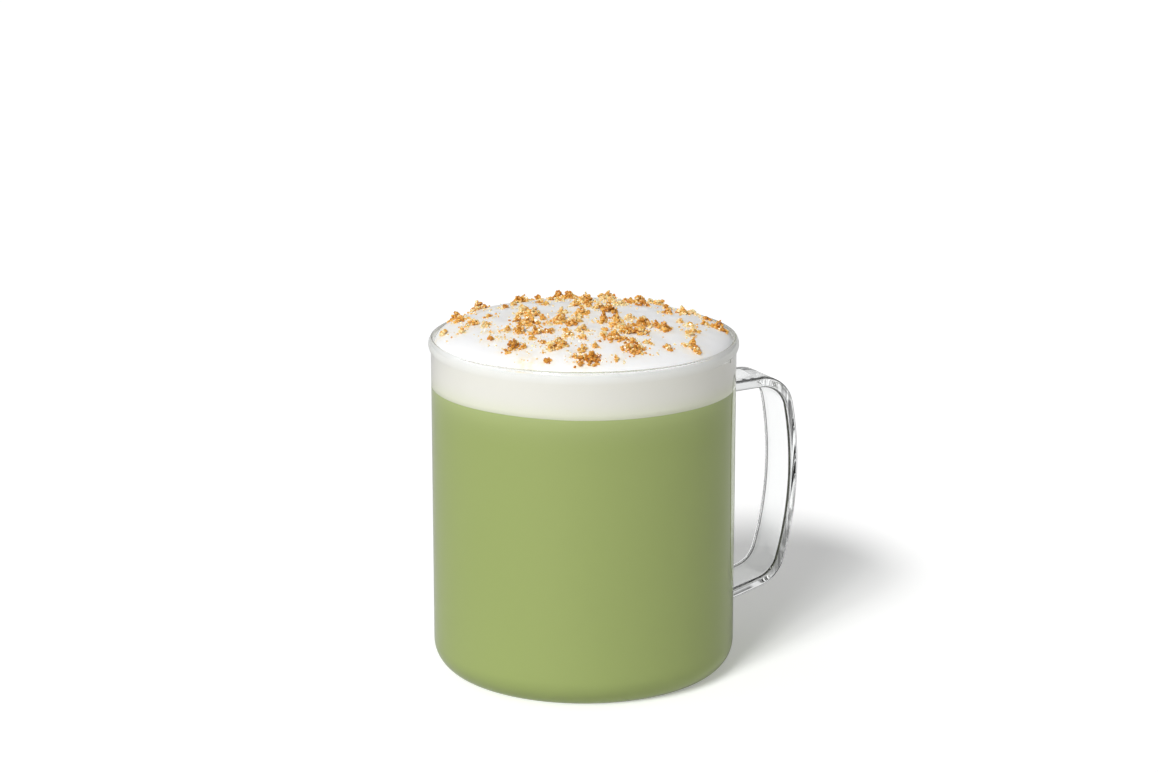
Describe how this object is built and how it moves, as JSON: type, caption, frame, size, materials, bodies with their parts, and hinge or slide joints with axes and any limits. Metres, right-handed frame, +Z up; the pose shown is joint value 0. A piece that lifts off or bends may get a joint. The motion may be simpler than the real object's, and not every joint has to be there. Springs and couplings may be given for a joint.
{
  "type": "matcha latte in a glass mug",
  "caption": "Green tea latte in a straight clear glass mug with a strap handle, topped with a white milk foam dome and amber sugar crystals.",
  "frame": {"origin": "centre of the flat base, on the surface the mug stands on", "axes": "+Z up along the mug's axis, +X towards the handle"},
  "size_m": [0.1085, 0.0864, 0.1013],
  "materials": {
    "clear_glass": "clear, smooth, polished drinking glass",
    "green_latte": "opaque milky green tea, soft and even",
    "white_foam": "fine dense milk foam, soft matte white",
    "sugar_crystals": "coarse raw sugar, translucent amber crystals"
  },
  "bodies": {
    "root": {"glass_mug": "clear_glass", "matcha_latte": "green_latte", "milk_foam": "white_foam"}
  },
  "joints": []
}
